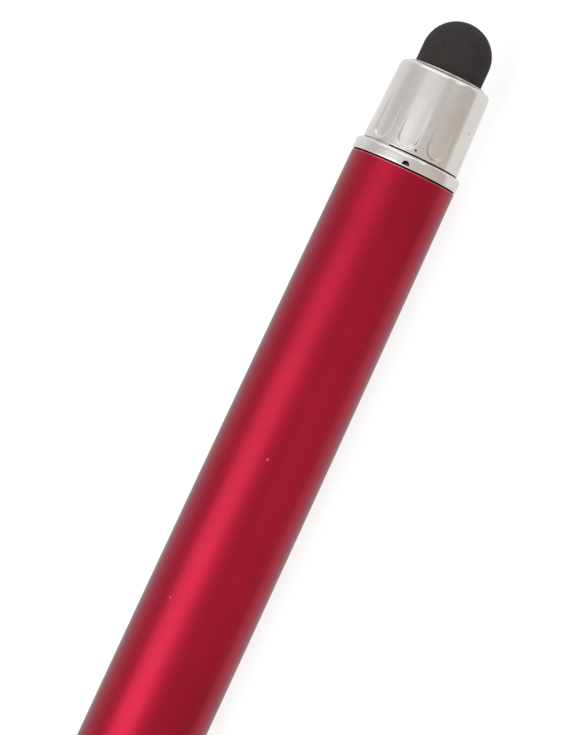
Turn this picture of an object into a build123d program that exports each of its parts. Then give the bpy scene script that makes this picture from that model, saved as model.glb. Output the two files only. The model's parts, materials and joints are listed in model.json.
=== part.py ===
from build123d import *
import os
from math import acos, atan2, copysign, cos, degrees, hypot, pi, radians, sin, sqrt

# A twist-action ballpoint pen with a rubber stylus nib at its cap end, lying on its side.
# Lengths are in millimetres. The pen's axis runs along X with the nib towards +X, and Z is up.
# Heights along the pen are counted from the twist plane, where the upper half turns on the lower.

# Clearances and cuts
SEAT_CLEARANCE = 0.02
RUNNING_CLEARANCE = 0.06
PASSING_CLEARANCE = 0.15
CUT_OVERRUN = 1.0

# Rubber nib and the core that fills it
NIB_STICK_OUT = 5.52
NIB_WALL = 0.9
NIB_SOCKET_DEPTH = 4.6
NIB_BEAD_HEIGHT = 1.1
NIB_BEAD_PROUD = 0.36
CORE_STICK_OUT = 1.2
CORE_ROUND = 0.8

# Fluted collar
COLLAR_HEIGHT = 8.9
COLLAR_STEP = 0.48
COLLAR_TAPER = 0.33
COLLAR_RIM_WIDTH = 1.22
COLLAR_CORNER = 0.7
COLLAR_TOP_SLOPE = 0.3
LIP_WIDTH = 0.4
LIP_HEIGHT = 0.22
CREASE_HEIGHT = 0.12
CREASE_SEAT_SHARE = 0.58
FLUTE_COUNT = 10
FLUTE_WIDTH = 2.0
FLUTE_START = 0.5
FLUTE_LENGTH = 4.9
FLUTE_TURN = 168.8
SPIGOT_DEPTH = 5.5
SPIGOT_WALL = 0.9
SPIGOT_CHAMFER = 0.25
SOCKET_FLOOR = 1.2

# Clip ring with the bracket that holds the clip, and the moulding gate opposite the clip
CLIP_RING_HEIGHT = 1.24
CLIP_RING_PROUD = 0.06
CLIP_RING_ROUND = 0.46
SHADOW_GAP = 0.2
SHADOW_GAP_DEPTH = 0.55
BRACKET_WALL = 0.65
BRACKET_CORNER = 0.8
GATE_RADIUS = 0.42
GATE_DEPTH = 0.2

# Spring clip, a bent strip
CLIP_LENGTH = 37.0
CLIP_THICKNESS = 0.9
CLIP_STAND_OFF = 1.35
CLIP_ROOT_WIDTH = 4.2
CLIP_END_WIDTH = 3.2
CLIP_TANG = 2.2
CLIP_STRAIGHT = 4.0
CLIP_BEND_RADIUS = 14.0
CLIP_DIP_RADIUS = 2.6
CLIP_FLICK_RUN = 3.2
CLIP_FLICK_RISE = 1.3
CLIP_TOUCH_GAP = 0.12
CLIP_POCKET_CLEARANCE = 0.22
CLIP_END_ROUND_SHARE = 0.34

# Barrels, the ring between them and the nose
BARREL_BELLY_RADIUS = 5.77
BARREL_TAPER = 0.3
BARREL_EDGE_ROUND = 0.28
TWIST_GAP = 0.15
BORE_STEP = 0.25
CENTRE_RING_LENGTH = 2.4
CENTRE_RING_ROUND = 0.2
LOWER_BARREL_LENGTH = 41.0
LOWER_STRAIGHT_LENGTH = 20.0
LOWER_TAPER = 0.77
LOWER_BORE_STEP = 0.37
GRIP_GROOVES = 5
GRIP_GROOVE_WIDTH = 0.9
GRIP_GROOVE_DEPTH = 0.25
GRIP_GROOVE_PITCH = 2.4
GRIP_END_MARGIN = 4.0
NOSE_LENGTH = 13.5
NOSE_STEP = 0.12
NOSE_TIP_RADIUS = 1.8
NOSE_TIP_ROUND = 0.25
NOSE_BULGE = 0.7
NOSE_SPIGOT_LENGTH = 6.0
NOSE_SOCKET_STEP = 0.2
NOSE_THROAT_LENGTH = 4.0

# Twist mechanism, nested between the refill and the barrel's outside
GUIDE_BORE_SHARE = 0.234
GUIDE_RADIUS_SHARE = 0.398
CAM_RADIUS_SHARE = 0.635
TWIST_ANGLE = 160.0
REFILL_TRAVEL = 4.5
GUIDE_SHOULDER = 0.27
GUIDE_SPIGOT_DEPTH = 9.0
GUIDE_JOURNAL_LENGTH = 7.0
GUIDE_END_MARGIN = 0.7
GUIDE_HEADROOM = 1.4
CAM_END_MARGIN = 3.2
CAM_KEY_WIDTH = 1.2
CAM_KEY_HEIGHT = 0.4
CAM_SLOT_CLEARANCE = 0.14
PIN_RADIUS = 0.75
PIN_END_CLEARANCE = 0.2
FOLLOWER_CUP_DEPTH = 5.0
FOLLOWER_WEB = 1.3
FOLLOWER_END = 1.6
FOLLOWER_CHAMFER = 0.3
DRAG_GROOVE_WIDTH = 1.0
DRAG_GROOVE_DEPTH = 0.72
RETAINER_THICKNESS = 0.6
RETAINER_DEPTH = 0.3
RETAINER_PROUD = 0.65
RETAINER_OPENING = 3.6

# Refill and its return spring
REFILL_LENGTH = 106.8
REFILL_RADIUS = 1.5
REFILL_WALL = 0.4
TIP_RECESS = 1.5
TIP_SHANK_RADIUS = 1.15
TIP_SHANK_LENGTH = 12.0
TIP_CONE_LENGTH = 2.6
TIP_END_RADIUS = 0.62
TIP_INSERT_LENGTH = 5.0
TIP_INK_BORE_RADIUS = 0.4
BALL_RADIUS = 0.5
BALL_STICK_OUT = 0.28
BALL_CLEARANCE = 0.03
INK_LENGTH = 70.0
PLUG_LENGTH = 3.0
PLUG_VENT_RADIUS = 0.3
SPRING_WIRE_RADIUS = 0.2
SPRING_SHANK_CLEARANCE = 0.1
SPRING_TURNS = 8
SPRING_DEAD_TURNS = 1
SPRING_DEAD_GAP = 0.45
SPRING_SEGMENTS_PER_TURN = 4

# Heights along the pen, from the nose up: the refill's length sets where the upper barrel ends
lower_top = -CENTRE_RING_LENGTH
lower_end = lower_top - LOWER_BARREL_LENGTH
nose_end = lower_end - NOSE_LENGTH
spring_seat = nose_end + NOSE_THROAT_LENGTH
tip_end = nose_end + TIP_RECESS
cone_end = tip_end + BALL_STICK_OUT
shank_start = cone_end + TIP_CONE_LENGTH
refill_shoulder = shank_start + TIP_SHANK_LENGTH
refill_tail = tip_end + REFILL_LENGTH
pin_height = refill_tail + FOLLOWER_WEB + PIN_RADIUS
cam_base = pin_height - REFILL_TRAVEL - CAM_END_MARGIN
cam_top = pin_height + CAM_END_MARGIN
retainer_base = cam_top + PASSING_CLEARANCE
guide_end = retainer_base + RETAINER_THICKNESS + GUIDE_END_MARGIN
spigot_end = guide_end + GUIDE_HEADROOM
barrel_end = TWIST_GAP
barrel_top = spigot_end + SPIGOT_DEPTH
ring_base = barrel_top + SHADOW_GAP
ring_top = ring_base + CLIP_RING_HEIGHT
lip_top = ring_top + COLLAR_HEIGHT
lip_base = lip_top - LIP_HEIGHT
socket_floor = lip_top - NIB_SOCKET_DEPTH
nib_end = lip_top + NIB_STICK_OUT

# Outside radii, from the belly up to the nib and down to the nose
barrel_top_radius = BARREL_BELLY_RADIUS - BARREL_TAPER
clip_ring_radius = barrel_top_radius + CLIP_RING_PROUD
collar_base_radius = clip_ring_radius - COLLAR_STEP
collar_top_radius = collar_base_radius - COLLAR_TAPER
nib_radius = collar_top_radius - COLLAR_RIM_WIDTH
lower_end_radius = BARREL_BELLY_RADIUS - LOWER_TAPER

# Radii inside, from the fits
nest_room = BARREL_BELLY_RADIUS - REFILL_RADIUS
guide_bore = REFILL_RADIUS + nest_room * GUIDE_BORE_SHARE
guide_radius = REFILL_RADIUS + nest_room * GUIDE_RADIUS_SHARE
cam_inner = guide_radius + RUNNING_CLEARANCE
cam_radius = REFILL_RADIUS + nest_room * CAM_RADIUS_SHARE
upper_bore = cam_radius + SEAT_CLEARANCE
lower_bore = upper_bore - BORE_STEP
journal_radius = lower_bore - RUNNING_CLEARANCE
guide_spigot_radius = journal_radius - GUIDE_SHOULDER
guide_socket = guide_spigot_radius + SEAT_CLEARANCE
barrel_bore = guide_socket - LOWER_BORE_STEP
nose_spigot_radius = barrel_bore + NOSE_SOCKET_STEP
spigot_radius = upper_bore - SEAT_CLEARANCE
crease_radius = spigot_radius + (collar_base_radius - spigot_radius) * CREASE_SEAT_SHARE
hollow_radius = nib_radius - NIB_WALL
socket_radius = nib_radius + SEAT_CLEARANCE
bead_radius = nib_radius + NIB_BEAD_PROUD
lip_radius = socket_radius + LIP_WIDTH
refill_bore = REFILL_RADIUS - REFILL_WALL
insert_radius = refill_bore - SEAT_CLEARANCE
throat_radius = TIP_SHANK_RADIUS + PASSING_CLEARANCE
spring_radius = TIP_SHANK_RADIUS + SPRING_SHANK_CLEARANCE + SPRING_WIRE_RADIUS
spring_chamber_radius = spring_radius + SPRING_WIRE_RADIUS + 2 * PASSING_CLEARANCE
clip_inner = clip_ring_radius + CLIP_STAND_OFF
bracket_reach = clip_inner + CLIP_THICKNESS + CLIP_POCKET_CLEARANCE + BRACKET_WALL
bracket_width = CLIP_ROOT_WIDTH + 2 * PASSING_CLEARANCE + 2 * BRACKET_WALL
bracket_height = CLIP_TANG + CLIP_POCKET_CLEARANCE + BRACKET_WALL

# The pen rests on its belly and on the bracket's outer corner, which sets how the clip leans
corner_out = bracket_reach - BRACKET_CORNER
corner_side = bracket_width / 2 - BRACKET_CORNER
corner_span = hypot(corner_out, corner_side)
clip_lean = atan2(corner_side, corner_out) + acos((BARREL_BELLY_RADIUS - BRACKET_CORNER) / corner_span)
bracket_y = corner_out * sin(clip_lean) + corner_side * cos(clip_lean) + BRACKET_CORNER

# At rest the cross pin leans from upright so that the cam's keys meet its slots half way along
pin_lean = degrees(clip_lean) - TWIST_ANGLE / 2

# The origin is under the middle of the pen's box, on the surface that it rests on
twist_x = -(nib_end + nose_end) / 2
axis_y = -(bracket_y - BARREL_BELLY_RADIUS) / 2
axis_z = BARREL_BELLY_RADIUS
PEN_ORIGIN = (twist_x, axis_y, axis_z)
PEN_AXIS = Axis(PEN_ORIGIN, (1, 0, 0))

# Profiles are drawn in the plane of the axis and the clip: height along X, radius along Y
AXIAL = Plane(PEN_ORIGIN, x_dir=(1, 0, 0), z_dir=(0, cos(clip_lean), sin(clip_lean)))


def facing(turn):
    """The plane through the axis that is seen square from outside, that many degrees round from the clip."""
    return AXIAL.rotated((turn - 90, 0, 0))


def across(height):
    """The plane square to the axis at a height, with its x direction towards the clip."""
    return Plane(AXIAL.from_local_coords((height, 0, 0)), x_dir=AXIAL.y_dir, z_dir=(1, 0, 0))


def pin_face(turn):
    """The plane square to the cross pin after the pen has been twisted by that many degrees."""
    height = pin_height - REFILL_TRAVEL * turn / TWIST_ANGLE
    lean = radians(pin_lean + turn)
    return Plane(AXIAL.from_local_coords((height, 0, 0)), x_dir=(1, 0, 0), z_dir=(0, -sin(lean), cos(lean)))


def corner(sketch, height, radius):
    """The corner of a profile that is nearest to a height and a radius."""
    return sketch.vertices().sort_by_distance((height, radius))[0]


def bow_radius(height, start, end, end_radius):
    """A barrel's outside radius on the arc that leaves the belly along the axis at the start."""
    run = end - start
    drop = BARREL_BELLY_RADIUS - end_radius
    arc_radius = (run**2 + drop**2) / (2 * drop)
    along = height - start
    depth = copysign(sqrt(arc_radius**2 - along**2), arc_radius)
    return BARREL_BELLY_RADIUS - along**2 / (arc_radius + depth)


def collar_radius(height):
    """The collar's radius on its taper."""
    share = (height - ring_top) / (lip_base - ring_top)
    return collar_base_radius + (collar_top_radius - collar_base_radius) * share


# Rubber nib: a hollow dome whose bead snaps into the collar's socket
with BuildPart() as stylus_tip:
    dome_base = nib_end - nib_radius
    with BuildSketch(AXIAL):
        with BuildLine():
            outside = CenterArc((dome_base, 0), nib_radius, 0, 90)
            Polyline(
                outside @ 1,
                (socket_floor + NIB_BEAD_HEIGHT, nib_radius),
                (socket_floor + NIB_BEAD_HEIGHT - NIB_BEAD_PROUD, bead_radius),
                (socket_floor, bead_radius),
                (socket_floor, hollow_radius),
                (dome_base, hollow_radius),
            )
            inside = CenterArc((dome_base, 0), hollow_radius, 0, 90)
            Line(inside @ 0, outside @ 0)
        make_face()
    revolve(axis=PEN_AXIS)
stylus_tip.part.label = "stylus_tip"

# Core: fills the nib's stem and keeps its bead in the groove
with BuildPart() as stylus_core:
    core_radius = hollow_radius - SEAT_CLEARANCE
    core_top = lip_top + CORE_STICK_OUT
    with BuildSketch(AXIAL) as profile:
        with Locations((socket_floor, 0)):
            Rectangle(core_top - socket_floor, core_radius, align=Align.MIN)
        fillet(corner(profile, core_top, core_radius), CORE_ROUND)
    revolve(axis=PEN_AXIS)
stylus_core.part.label = "stylus_core"

# Flutes: round-ended cuts whose floor is a cylinder, so that they run out as the collar tapers
with BuildPart() as flutes:
    flute_base = ring_top + FLUTE_START
    flute_top = flute_base + FLUTE_LENGTH
    flute_planes = [facing(FLUTE_TURN + 360 * i / FLUTE_COUNT) for i in range(FLUTE_COUNT)]
    with BuildSketch(*flute_planes):
        with Locations(((flute_base + flute_top + CUT_OVERRUN) / 2, 0)):
            SlotOverall(FLUTE_LENGTH + CUT_OVERRUN, FLUTE_WIDTH)
    extrude(amount=collar_base_radius + CUT_OVERRUN)
    with BuildSketch(across(flute_base - CUT_OVERRUN)):
        Circle(collar_radius(flute_top))
    extrude(amount=FLUTE_LENGTH + 3 * CUT_OVERRUN, mode=Mode.SUBTRACT)

# Fluted collar: holds the nib in its socket and plugs into the barrel through the clip ring
with BuildPart() as stylus_collar:
    slope_base = lip_base - COLLAR_TOP_SLOPE
    top_corner = min(COLLAR_CORNER, collar_top_radius - lip_radius)
    groove_radius = bead_radius + SEAT_CLEARANCE
    groove_top = socket_floor + NIB_BEAD_HEIGHT + SEAT_CLEARANCE
    spigot_bore = spigot_radius - SPIGOT_WALL
    with BuildSketch(AXIAL) as profile:
        with BuildLine():
            Polyline(
                (socket_floor, 0),
                (socket_floor, groove_radius),
                (groove_top - NIB_BEAD_PROUD, groove_radius),
                (groove_top, socket_radius),
                (lip_top, socket_radius),
                (lip_top, lip_radius),
                (lip_base, lip_radius),
                (slope_base, collar_top_radius),
                (ring_top + CREASE_HEIGHT, collar_base_radius),
                (ring_top + CREASE_HEIGHT, crease_radius),
                (ring_top, crease_radius),
                (ring_top, spigot_radius),
                (spigot_end, spigot_radius),
                (spigot_end, spigot_bore),
                (socket_floor - SOCKET_FLOOR, spigot_bore),
                (socket_floor - SOCKET_FLOOR, 0),
                close=True,
            )
        make_face()
        fillet(corner(profile, slope_base, collar_top_radius), top_corner)
        chamfer(corner(profile, spigot_end, spigot_radius), SPIGOT_CHAMFER)
    revolve(axis=PEN_AXIS)
    add(flutes.part, mode=Mode.SUBTRACT)
stylus_collar.part.label = "stylus_collar"

# Clip ring: clamped between collar and barrel, with a bracket behind and a gate recess in front
with BuildPart() as clip_ring:
    ring_bore = spigot_radius + SEAT_CLEARANCE
    ring_foot = clip_ring_radius - SHADOW_GAP_DEPTH
    with BuildSketch(across(ring_base)) as bracket:
        with Locations((bracket_reach / 2, 0)):
            Rectangle(bracket_reach, bracket_width)
        fillet(bracket.vertices().group_by(Axis.X)[-1], BRACKET_CORNER)
    extrude(amount=bracket_height)
    with BuildSketch(across(ring_top)):
        Circle(collar_base_radius + PASSING_CLEARANCE)
    extrude(amount=bracket_height, mode=Mode.SUBTRACT)
    with BuildSketch(AXIAL) as profile:
        with BuildLine():
            Polyline(
                (barrel_top, 0),
                (barrel_top, ring_foot),
                (ring_base, ring_foot),
                (ring_base, clip_ring_radius),
                (ring_top, clip_ring_radius),
                (ring_top, 0),
                close=True,
            )
        make_face()
        fillet(corner(profile, ring_top, clip_ring_radius), CLIP_RING_ROUND)
    revolve(axis=PEN_AXIS)
    with BuildSketch(across(barrel_top)):
        Circle(ring_bore)
    extrude(amount=CLIP_RING_HEIGHT + SHADOW_GAP, mode=Mode.SUBTRACT)
    with BuildSketch(across(ring_base)):
        with Locations((clip_inner + CLIP_THICKNESS / 2, 0)):
            Rectangle(CLIP_THICKNESS + 2 * CLIP_POCKET_CLEARANCE, CLIP_ROOT_WIDTH + 2 * PASSING_CLEARANCE)
    extrude(amount=CLIP_TANG + CLIP_POCKET_CLEARANCE, mode=Mode.SUBTRACT)
    with BuildSketch(facing(180).offset(clip_ring_radius - GATE_DEPTH)):
        with Locations((ring_base, 0)):
            Circle(GATE_RADIUS)
    extrude(amount=CUT_OVERRUN, mode=Mode.SUBTRACT)
clip_ring.part.label = "clip_ring"

# Clip: a bent strip that dips to the barrel and flicks out at its end
with BuildPart() as clip:
    clip_end = ring_base - CLIP_LENGTH
    dip_height = clip_end + CLIP_FLICK_RUN
    barrel_radius = bow_radius(dip_height, barrel_end, barrel_top, barrel_top_radius)
    dip_radius = barrel_radius + CLIP_TOUCH_GAP
    with BuildSketch(AXIAL):
        with BuildLine():
            FilletPolyline(
                (ring_base + CLIP_TANG, clip_inner),
                (ring_base - CLIP_STRAIGHT, clip_inner),
                (dip_height, dip_radius),
                (clip_end, dip_radius + CLIP_FLICK_RISE),
                radius=[CLIP_BEND_RADIUS, CLIP_DIP_RADIUS],
            )
            offset(amount=CLIP_THICKNESS, side=Side.RIGHT)
        make_face()
    extrude(amount=CLIP_ROOT_WIDTH / 2, both=True)
    with BuildSketch(facing(0)) as plan:
        with BuildLine():
            Polyline(
                (ring_base + CLIP_TANG, CLIP_ROOT_WIDTH / 2),
                (ring_base - CLIP_STRAIGHT, CLIP_ROOT_WIDTH / 2),
                (clip_end, CLIP_END_WIDTH / 2),
                (clip_end, -CLIP_END_WIDTH / 2),
                (ring_base - CLIP_STRAIGHT, -CLIP_ROOT_WIDTH / 2),
                (ring_base + CLIP_TANG, -CLIP_ROOT_WIDTH / 2),
                close=True,
            )
        make_face()
        fillet(plan.vertices().group_by(Axis.X)[0], CLIP_END_WIDTH * CLIP_END_ROUND_SHARE)
    extrude(amount=bracket_reach + CUT_OVERRUN, mode=Mode.INTERSECT)
clip.part.label = "clip"

# Upper barrel: a bowed tube with two bores, and keyways for the cam sleeve
with BuildPart() as upper_barrel:
    with BuildSketch(AXIAL) as profile:
        with BuildLine():
            side = TangentArc(
                (barrel_end, BARREL_BELLY_RADIUS), (barrel_top, barrel_top_radius), tangent=(1, 0)
            )
            Polyline(
                side @ 1,
                (barrel_top, upper_bore),
                (cam_base, upper_bore),
                (cam_base, lower_bore),
                (barrel_end, lower_bore),
                side @ 0,
            )
        make_face()
        fillet(corner(profile, barrel_top, barrel_top_radius), BARREL_EDGE_ROUND)
        fillet(corner(profile, barrel_end, BARREL_BELLY_RADIUS), BARREL_EDGE_ROUND)
    revolve(axis=PEN_AXIS)
    with BuildSketch(across(cam_base)):
        Rectangle(
            CAM_KEY_WIDTH + 2 * SEAT_CLEARANCE, 2 * (cam_radius + CAM_KEY_HEIGHT + SEAT_CLEARANCE)
        )
    extrude(amount=barrel_top - cam_base, mode=Mode.SUBTRACT)
upper_barrel.part.label = "upper_barrel"

# Cam sleeve: turns with the upper barrel and drives the cross pin along two helical slots
cam_slot_radius = PIN_RADIUS + CAM_SLOT_CLEARANCE
slot_start = AXIAL.from_local_coords((pin_height, 0, 0))
helix = Edge.make_helix(
    pitch=REFILL_TRAVEL * 360 / TWIST_ANGLE,
    height=REFILL_TRAVEL,
    radius=(cam_inner + cam_radius) / 2,
    center=slot_start,
    normal=(-1, 0, 0),
    lefthand=True,
)
with BuildPart() as cam_sleeve:
    with BuildSketch(across(cam_base)):
        Circle(cam_radius)
        Rectangle(CAM_KEY_WIDTH, 2 * (cam_radius + CAM_KEY_HEIGHT))
        Circle(cam_inner, mode=Mode.SUBTRACT)
    extrude(amount=cam_top - cam_base)
    for slot_path in (helix.rotate(PEN_AXIS, pin_lean), helix.rotate(PEN_AXIS, pin_lean + 180)):
        with BuildSketch(Plane(slot_path @ 0, x_dir=slot_path @ 0 - slot_start, z_dir=slot_path % 0)):
            Rectangle(cam_radius - cam_inner + CUT_OVERRUN, 2 * cam_slot_radius)
        sweep(path=slot_path, is_frenet=True, mode=Mode.SUBTRACT)
    with BuildSketch(pin_face(0), pin_face(TWIST_ANGLE)):
        Circle(cam_slot_radius)
    extrude(amount=upper_bore, both=True, mode=Mode.SUBTRACT)
cam_sleeve.part.label = "cam_sleeve"

# Guide sleeve: pressed into the lower barrel, with straight slots that let the pin slide only
with BuildPart() as guide_sleeve:
    guide_start = lower_top - GUIDE_SPIGOT_DEPTH
    drag_base = (GUIDE_JOURNAL_LENGTH - DRAG_GROOVE_WIDTH) / 2
    drag_floor = journal_radius - DRAG_GROOVE_DEPTH
    retainer_floor = guide_radius - RETAINER_DEPTH
    with BuildSketch(AXIAL):
        with BuildLine():
            Polyline(
                (guide_start, guide_bore),
                (guide_start, guide_spigot_radius),
                (0, guide_spigot_radius),
                (0, journal_radius),
                (drag_base, journal_radius),
                (drag_base, drag_floor),
                (drag_base + DRAG_GROOVE_WIDTH, drag_floor),
                (drag_base + DRAG_GROOVE_WIDTH, journal_radius),
                (GUIDE_JOURNAL_LENGTH, journal_radius),
                (GUIDE_JOURNAL_LENGTH, guide_radius),
                (retainer_base, guide_radius),
                (retainer_base, retainer_floor),
                (retainer_base + RETAINER_THICKNESS, retainer_floor),
                (retainer_base + RETAINER_THICKNESS, guide_radius),
                (guide_end, guide_radius),
                (guide_end, guide_bore),
                close=True,
            )
        make_face()
    revolve(axis=PEN_AXIS)
    with BuildSketch(pin_face(0)):
        with Locations((-REFILL_TRAVEL / 2, 0)):
            SlotCenterToCenter(REFILL_TRAVEL, 2 * (PIN_RADIUS + RUNNING_CLEARANCE))
    extrude(amount=upper_bore, both=True, mode=Mode.SUBTRACT)
guide_sleeve.part.label = "guide_sleeve"

# Drag ring: a rubber ring in the journal's groove that steadies the twist
with BuildPart() as drag_ring:
    drag_section = (lower_bore - SEAT_CLEARANCE - drag_floor - SEAT_CLEARANCE) / 2
    with BuildSketch(AXIAL):
        with Locations((GUIDE_JOURNAL_LENGTH / 2, drag_floor + SEAT_CLEARANCE + drag_section)):
            Circle(drag_section)
    revolve(axis=PEN_AXIS)
drag_ring.part.label = "drag_ring"

# Retaining ring: an open ring in the guide sleeve's groove that keeps the cam sleeve on
with BuildPart() as retaining_ring:
    with BuildSketch(across(retainer_base + SEAT_CLEARANCE)):
        Circle(guide_radius + RETAINER_PROUD)
        Circle(retainer_floor + SEAT_CLEARANCE, mode=Mode.SUBTRACT)
        with Locations((guide_radius, 0)):
            Rectangle(guide_radius, RETAINER_OPENING, mode=Mode.SUBTRACT)
    extrude(amount=RETAINER_THICKNESS - 2 * SEAT_CLEARANCE)
retaining_ring.part.label = "retaining_ring"

# Centre ring: trapped between the lower barrel and the guide sleeve's journal
with BuildPart() as centre_ring:
    with BuildSketch(AXIAL) as profile:
        with Locations((lower_top, guide_socket)):
            Rectangle(CENTRE_RING_LENGTH, BARREL_BELLY_RADIUS - guide_socket, align=Align.MIN)
        fillet(profile.vertices().group_by(Axis.Y)[-1], CENTRE_RING_ROUND)
    revolve(axis=PEN_AXIS)
centre_ring.part.label = "centre_ring"

# Lower barrel: straight behind, bowed in towards the nose, with grip grooves
with BuildPart() as lower_barrel:
    bow_start = lower_top - LOWER_STRAIGHT_LENGTH
    nose_socket = nose_spigot_radius + SEAT_CLEARANCE
    groove_radius = (GRIP_GROOVE_WIDTH**2 / 4 + GRIP_GROOVE_DEPTH**2) / (2 * GRIP_GROOVE_DEPTH)
    with BuildSketch(AXIAL) as profile:
        with BuildLine():
            bow = TangentArc(
                (bow_start, BARREL_BELLY_RADIUS), (lower_end, lower_end_radius), tangent=(-1, 0)
            )
            Polyline(
                bow @ 1,
                (lower_end, nose_socket),
                (lower_end + NOSE_SPIGOT_LENGTH, nose_socket),
                (lower_end + NOSE_SPIGOT_LENGTH, barrel_bore),
                (guide_start, barrel_bore),
                (guide_start, guide_socket),
                (lower_top, guide_socket),
                (lower_top, BARREL_BELLY_RADIUS),
                bow @ 0,
            )
        make_face()
        fillet(corner(profile, lower_top, BARREL_BELLY_RADIUS), CENTRE_RING_ROUND)
        for i in range(GRIP_GROOVES):
            groove_height = lower_end + GRIP_END_MARGIN + GRIP_GROOVE_PITCH * i
            groove_mouth = bow_radius(groove_height, bow_start, lower_end, lower_end_radius)
            with Locations((groove_height, groove_mouth - GRIP_GROOVE_DEPTH + groove_radius)):
                Circle(groove_radius, mode=Mode.SUBTRACT)
    revolve(axis=PEN_AXIS)
lower_barrel.part.label = "lower_barrel"

# Nose cone: plugs into the lower barrel and holds the return spring round the refill's tip
with BuildPart() as nose_cone:
    nose_base_radius = lower_end_radius - NOSE_STEP
    nose_spigot_end = lower_end + NOSE_SPIGOT_LENGTH - SEAT_CLEARANCE
    with BuildSketch(AXIAL) as profile:
        with BuildLine():
            cone = SagittaArc((lower_end, nose_base_radius), (nose_end, NOSE_TIP_RADIUS), -NOSE_BULGE)
            Polyline(
                cone @ 1,
                (nose_end, throat_radius),
                (spring_seat, throat_radius),
                (spring_seat, spring_chamber_radius),
                (nose_spigot_end, spring_chamber_radius),
                (nose_spigot_end, nose_spigot_radius),
                (lower_end, nose_spigot_radius),
                cone @ 0,
            )
        make_face()
        fillet(corner(profile, nose_end, NOSE_TIP_RADIUS), NOSE_TIP_ROUND)
    revolve(axis=PEN_AXIS)
nose_cone.part.label = "nose_cone"

# Follower: slides in the guide sleeve and takes the refill's tail in its cup
with BuildPart() as cam_follower:
    follower_base = refill_tail - FOLLOWER_CUP_DEPTH
    follower_top = pin_height + PIN_RADIUS + FOLLOWER_END
    follower_radius = guide_bore - RUNNING_CLEARANCE
    cup_radius = REFILL_RADIUS + SEAT_CLEARANCE
    cup_floor = refill_tail + SEAT_CLEARANCE
    with BuildSketch(AXIAL) as profile:
        with BuildLine():
            Polyline(
                (follower_base, cup_radius),
                (follower_base, follower_radius),
                (follower_top, follower_radius),
                (follower_top, 0),
                (cup_floor, 0),
                (cup_floor, cup_radius),
                close=True,
            )
        make_face()
        chamfer(corner(profile, follower_top, follower_radius), FOLLOWER_CHAMFER)
        chamfer(corner(profile, follower_base, follower_radius), FOLLOWER_CHAMFER)
    revolve(axis=PEN_AXIS)
    with BuildSketch(pin_face(0)):
        Circle(PIN_RADIUS + SEAT_CLEARANCE)
    extrude(amount=upper_bore, both=True, mode=Mode.SUBTRACT)
cam_follower.part.label = "cam_follower"

# Cross pin: carries the follower through the straight slots into the helical ones
with BuildPart() as cross_pin:
    with BuildSketch(pin_face(0)):
        Circle(PIN_RADIUS)
    extrude(amount=cam_radius - PIN_END_CLEARANCE, both=True)
cross_pin.part.label = "cross_pin"

# Refill: tube, ink, tail plug, tip and ball
with BuildPart() as refill_tube:
    with BuildSketch(AXIAL):
        with Locations((refill_shoulder, refill_bore)):
            Rectangle(refill_tail - refill_shoulder, REFILL_WALL, align=Align.MIN)
    revolve(axis=PEN_AXIS)
refill_tube.part.label = "refill_tube"

with BuildPart() as refill_tip:
    insert_end = refill_shoulder + TIP_INSERT_LENGTH
    ball_height = tip_end + BALL_RADIUS
    seat_radius = BALL_RADIUS + BALL_CLEARANCE
    mouth_radius = sqrt(seat_radius**2 - (ball_height - cone_end) ** 2)
    seat_end = ball_height + sqrt(seat_radius**2 - TIP_INK_BORE_RADIUS**2)
    with BuildSketch(AXIAL):
        with BuildLine():
            seat = ThreePointArc(
                (cone_end, mouth_radius), (ball_height, seat_radius), (seat_end, TIP_INK_BORE_RADIUS)
            )
            Polyline(
                seat @ 1,
                (insert_end, TIP_INK_BORE_RADIUS),
                (insert_end, insert_radius),
                (refill_shoulder, insert_radius),
                (refill_shoulder, TIP_SHANK_RADIUS),
                (shank_start, TIP_SHANK_RADIUS),
                (cone_end, TIP_END_RADIUS),
                seat @ 0,
            )
        make_face()
    revolve(axis=PEN_AXIS)
refill_tip.part.label = "refill_tip"

with BuildPart() as writing_ball:
    with Locations(AXIAL.from_local_coords((ball_height, 0, 0))):
        Sphere(BALL_RADIUS)
writing_ball.part.label = "writing_ball"

with BuildPart() as ink_column:
    with BuildSketch(across(insert_end + SEAT_CLEARANCE)):
        Circle(insert_radius)
    extrude(amount=INK_LENGTH)
ink_column.part.label = "ink_column"

with BuildPart() as refill_plug:
    with BuildSketch(across(refill_tail - PLUG_LENGTH)):
        Circle(insert_radius)
        Circle(PLUG_VENT_RADIUS, mode=Mode.SUBTRACT)
    extrude(amount=PLUG_LENGTH)
refill_plug.part.label = "refill_plug"

# Return spring: one wire from the nose's shoulder to the refill's, with a close turn at each end
spring_start = spring_seat + SEAT_CLEARANCE + SPRING_WIRE_RADIUS
spring_end = refill_shoulder - SEAT_CLEARANCE - SPRING_WIRE_RADIUS
dead_pitch = 2 * SPRING_WIRE_RADIUS + SPRING_DEAD_GAP
active_turns = SPRING_TURNS - 2 * SPRING_DEAD_TURNS
active_pitch = (spring_end - spring_start - 2 * SPRING_DEAD_TURNS * dead_pitch) / active_turns


def spring_point(turn):
    """The wire's centre after that many turns."""
    close_turns = min(turn, SPRING_DEAD_TURNS) + max(turn - SPRING_TURNS + SPRING_DEAD_TURNS, 0)
    height = spring_start + dead_pitch * close_turns + active_pitch * (turn - close_turns)
    angle = 2 * pi * turn
    return AXIAL.from_local_coords((height, spring_radius * cos(angle), spring_radius * sin(angle)))


def spring_tangent(turn):
    """The wire's direction there, from the points a quarter of a segment either side."""
    step = 1 / (4 * SPRING_SEGMENTS_PER_TURN)
    return (spring_point(turn + step) - spring_point(turn - step)).normalized()


def biarc_joint(start, start_way, end, end_way):
    """The point where two arcs meet that leave the start and reach the end in the given directions."""
    chord = end - start
    bend = 2 - 2 * start_way.dot(end_way)
    run = chord.dot(start_way + end_way)
    reach = (sqrt(run**2 + bend * chord.dot(chord)) - run) / bend
    return (start + start_way * reach + end - end_way * reach) / 2


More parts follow.
